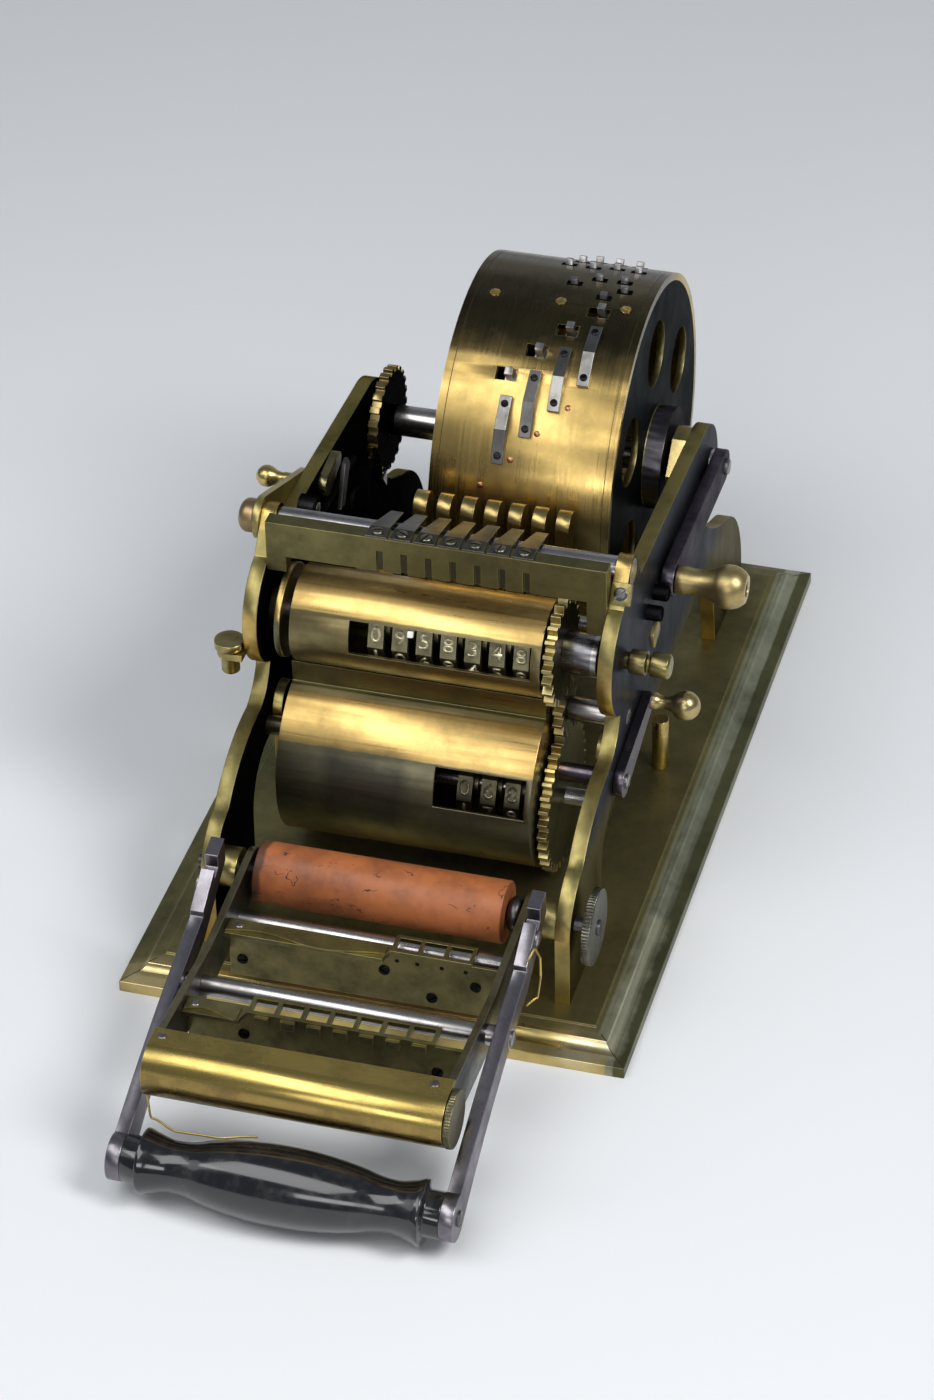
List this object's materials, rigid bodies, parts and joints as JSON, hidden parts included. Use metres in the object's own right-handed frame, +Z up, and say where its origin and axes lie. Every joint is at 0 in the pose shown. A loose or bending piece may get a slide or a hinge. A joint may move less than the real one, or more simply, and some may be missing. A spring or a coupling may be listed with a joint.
{
  "type": "pinwheel calculator",
  "caption": "Crank-driven pinwheel calculator on a moulded base, with windowed figure registers, an open drum with setting levers and a folding printing frame with a rubber roller.",
  "frame": {"origin": "centre of the underside of the base", "axes": "+X to the machine's right, where the crank is; +Y to the back, where the drum is; +Z up"},
  "size_m": [0.2103, 0.4558, 0.1897],
  "materials": {
    "base_brass": "aged satin",
    "frame_brass": "brushed",
    "polished_brass": "polished",
    "cover_brass": "brushed",
    "drum_brass": "brushed",
    "copper_brown": "polished",
    "bright_steel": "polished",
    "dark_steel": "satin",
    "arm_steel": "satin",
    "wheel_dark": "satin",
    "red_rubber": "matt, cracked",
    "black_wood": "gloss"
  },
  "bodies": {
    "stand": {"base_plate": "base_brass", "left_side_frame": "frame_brass", "right_side_frame": "frame_brass", "tie_rod": "polished_brass", "tie_rod_knob": "copper_brown", "cross_bar": "frame_brass", "finger_springs": "bright_steel", "upper_cover": "cover_brass", "lower_cover": "cover_brass", "register_end_ring": "cover_brass", "bearing_block": "polished_brass", "stop_post": "polished_brass", "roller_bushes": "polished_brass", "lever_bracket": "base_brass", "thumb_bracket": "polished_brass", "carry_shaft": "bright_steel", "idler_stud": "bright_steel"},
    "drum": {"drum_shell": "drum_brass", "left_drum_disc": "drum_brass", "right_drum_disc": "drum_brass", "drum_shaft": "bright_steel", "latch_wheel": "base_brass", "cam_bars": "bright_steel", "crank_arm": "dark_steel"},
    "crank_grip": {"crank_handle": "polished_brass"},
    "lower_gear_set": {"lower_gear": "cover_brass", "lower_shaft": "bright_steel"},
    "idler": {"idler_gear": "polished_brass"},
    "upper_gear_set": {"upper_gear": "cover_brass", "register_shaft": "bright_steel"},
    "carry": {"carry_levers": "polished_brass"},
    "platen": {"platen_roller": "red_rubber", "roller_shaft": "bright_steel", "roller_knob": "dark_steel"},
    "swing": {"swing_side_plates": "arm_steel", "left_swing_arm": "arm_steel", "right_swing_arm": "arm_steel", "swing_rods": "bright_steel", "swing_handle": "black_wood", "short_comb_plate": "base_brass", "long_comb_plate": "base_brass", "round_guard": "cover_brass"},
    "feed": {"feed_knob": "dark_steel"},
    "thumb": {"thumbscrew": "polished_brass"},
    "left_lever": {"left_ball_lever": "polished_brass"},
    "right_lever": {"right_ball_lever": "dark_steel"},
    "setting_1": {"setting_lever_1": "bright_steel"},
    "setting_2": {"setting_lever_2": "bright_steel"},
    "setting_3": {"setting_lever_3": "bright_steel"},
    "setting_4": {"setting_lever_4": "bright_steel"},
    "upper_figure_1": {"upper_wheel_1": "wheel_dark"},
    "upper_figure_2": {"upper_wheel_2": "wheel_dark"},
    "upper_figure_3": {"upper_wheel_3": "wheel_dark"},
    "upper_figure_4": {"upper_wheel_4": "wheel_dark"},
    "upper_figure_5": {"upper_wheel_5": "wheel_dark"},
    "upper_figure_6": {"upper_wheel_6": "wheel_dark"},
    "upper_figure_7": {"upper_wheel_7": "wheel_dark"},
    "lower_figure_1": {"lower_wheel_1": "wheel_dark"},
    "lower_figure_2": {"lower_wheel_2": "wheel_dark"},
    "lower_figure_3": {"lower_wheel_3": "wheel_dark"}
  },
  "joints": [
    {"name": "drum_spin", "type": "hinge", "parent": "stand", "child": "drum", "pos_m": [0, 0.0866, 0.1107], "axis": [1, 0, 0], "continuous": true},
    {"name": "crank_handle_spin", "type": "hinge", "parent": "drum", "child": "crank_grip", "pos_m": [0.095, 0.00064, 0.1134], "axis": [1, 0, 0], "continuous": true},
    {"name": "lower_gear_spin", "type": "hinge", "parent": "stand", "child": "lower_gear_set", "pos_m": [0, -0.0572, 0.04297], "axis": [1, 0, 0], "continuous": true},
    {"name": "idler_spin", "type": "hinge", "parent": "stand", "child": "idler", "pos_m": [0.048, -0.0522, 0.08291], "axis": [1, 0, 0], "continuous": true},
    {"name": "upper_gear_spin", "type": "hinge", "parent": "stand", "child": "upper_gear_set", "pos_m": [0, -0.0572, 0.11401], "axis": [1, 0, 0], "continuous": true},
    {"name": "carry_rock", "type": "hinge", "parent": "stand", "child": "carry", "pos_m": [0, -0.0136, 0.096], "axis": [1, 0, 0], "range_deg": [0, 2.5]},
    {"name": "platen_spin", "type": "hinge", "parent": "stand", "child": "platen", "pos_m": [0, -0.1346, 0.0445], "axis": [1, 0, 0], "continuous": true},
    {"name": "swing_fold", "type": "hinge", "parent": "stand", "child": "swing", "pos_m": [0, -0.1346, 0.0445], "axis": [1, 0, 0], "range_deg": [-95, 0]},
    {"name": "feed_spin", "type": "hinge", "parent": "swing", "child": "feed", "pos_m": [0, -0.2516, 0.044], "axis": [1, 0, 0], "continuous": true},
    {"name": "thumb_turn", "type": "hinge", "parent": "stand", "child": "thumb", "pos_m": [-0.0806, -0.0766, 0.105], "axis": [0, 0, 1], "range_deg": [-180, 180]},
    {"name": "left_lever_turn", "type": "hinge", "parent": "stand", "child": "left_lever", "pos_m": [-0.08, 0.0054, 0.131], "axis": [1, 0, 0], "range_deg": [0, 20]},
    {"name": "right_lever_turn", "type": "hinge", "parent": "stand", "child": "right_lever", "pos_m": [0.07, -0.0716, 0.0665], "axis": [1, 0, 0], "range_deg": [0, 20]},
    {"name": "setting_slide_1", "type": "slide", "parent": "drum", "child": "setting_1", "axis": [1, 0, 0], "range_m": [-0.0036, 0.0006]},
    {"name": "setting_slide_2", "type": "slide", "parent": "drum", "child": "setting_2", "axis": [1, 0, 0], "range_m": [-0.0036, 0.0006]},
    {"name": "setting_slide_3", "type": "slide", "parent": "drum", "child": "setting_3", "axis": [1, 0, 0], "range_m": [-0.0036, 0.0006]},
    {"name": "setting_slide_4", "type": "slide", "parent": "drum", "child": "setting_4", "axis": [1, 0, 0], "range_m": [-0.0036, 0.0006]},
    {"name": "upper_wheel_spin_1", "type": "hinge", "parent": "upper_gear_set", "child": "upper_figure_1", "pos_m": [-0.022, -0.0572, 0.11401], "axis": [1, 0, 0], "continuous": true},
    {"name": "upper_wheel_spin_2", "type": "hinge", "parent": "upper_gear_set", "child": "upper_figure_2", "pos_m": [-0.01225, -0.0572, 0.11401], "axis": [1, 0, 0], "continuous": true},
    {"name": "upper_wheel_spin_3", "type": "hinge", "parent": "upper_gear_set", "child": "upper_figure_3", "pos_m": [-0.0025, -0.0572, 0.11401], "axis": [1, 0, 0], "continuous": true},
    {"name": "upper_wheel_spin_4", "type": "hinge", "parent": "upper_gear_set", "child": "upper_figure_4", "pos_m": [0.00725, -0.0572, 0.11401], "axis": [1, 0, 0], "continuous": true},
    {"name": "upper_wheel_spin_5", "type": "hinge", "parent": "upper_gear_set", "child": "upper_figure_5", "pos_m": [0.017, -0.0572, 0.11401], "axis": [1, 0, 0], "continuous": true},
    {"name": "upper_wheel_spin_6", "type": "hinge", "parent": "upper_gear_set", "child": "upper_figure_6", "pos_m": [0.02675, -0.0572, 0.11401], "axis": [1, 0, 0], "continuous": true},
    {"name": "upper_wheel_spin_7", "type": "hinge", "parent": "upper_gear_set", "child": "upper_figure_7", "pos_m": [0.0365, -0.0572, 0.11401], "axis": [1, 0, 0], "continuous": true},
    {"name": "lower_wheel_spin_1", "type": "hinge", "parent": "lower_gear_set", "child": "lower_figure_1", "pos_m": [0.0123, -0.0572, 0.04297], "axis": [1, 0, 0], "continuous": true},
    {"name": "lower_wheel_spin_2", "type": "hinge", "parent": "lower_gear_set", "child": "lower_figure_2", "pos_m": [0.02205, -0.0572, 0.04297], "axis": [1, 0, 0], "continuous": true},
    {"name": "lower_wheel_spin_3", "type": "hinge", "parent": "lower_gear_set", "child": "lower_figure_3", "pos_m": [0.0318, -0.0572, 0.04297], "axis": [1, 0, 0], "continuous": true}
  ],
  "couplings": [
    {"joint": "idler_spin", "follows": "lower_gear_spin", "ratio": -2.8333},
    {"joint": "upper_gear_spin", "follows": "lower_gear_spin", "ratio": 1.4167}
  ]
}
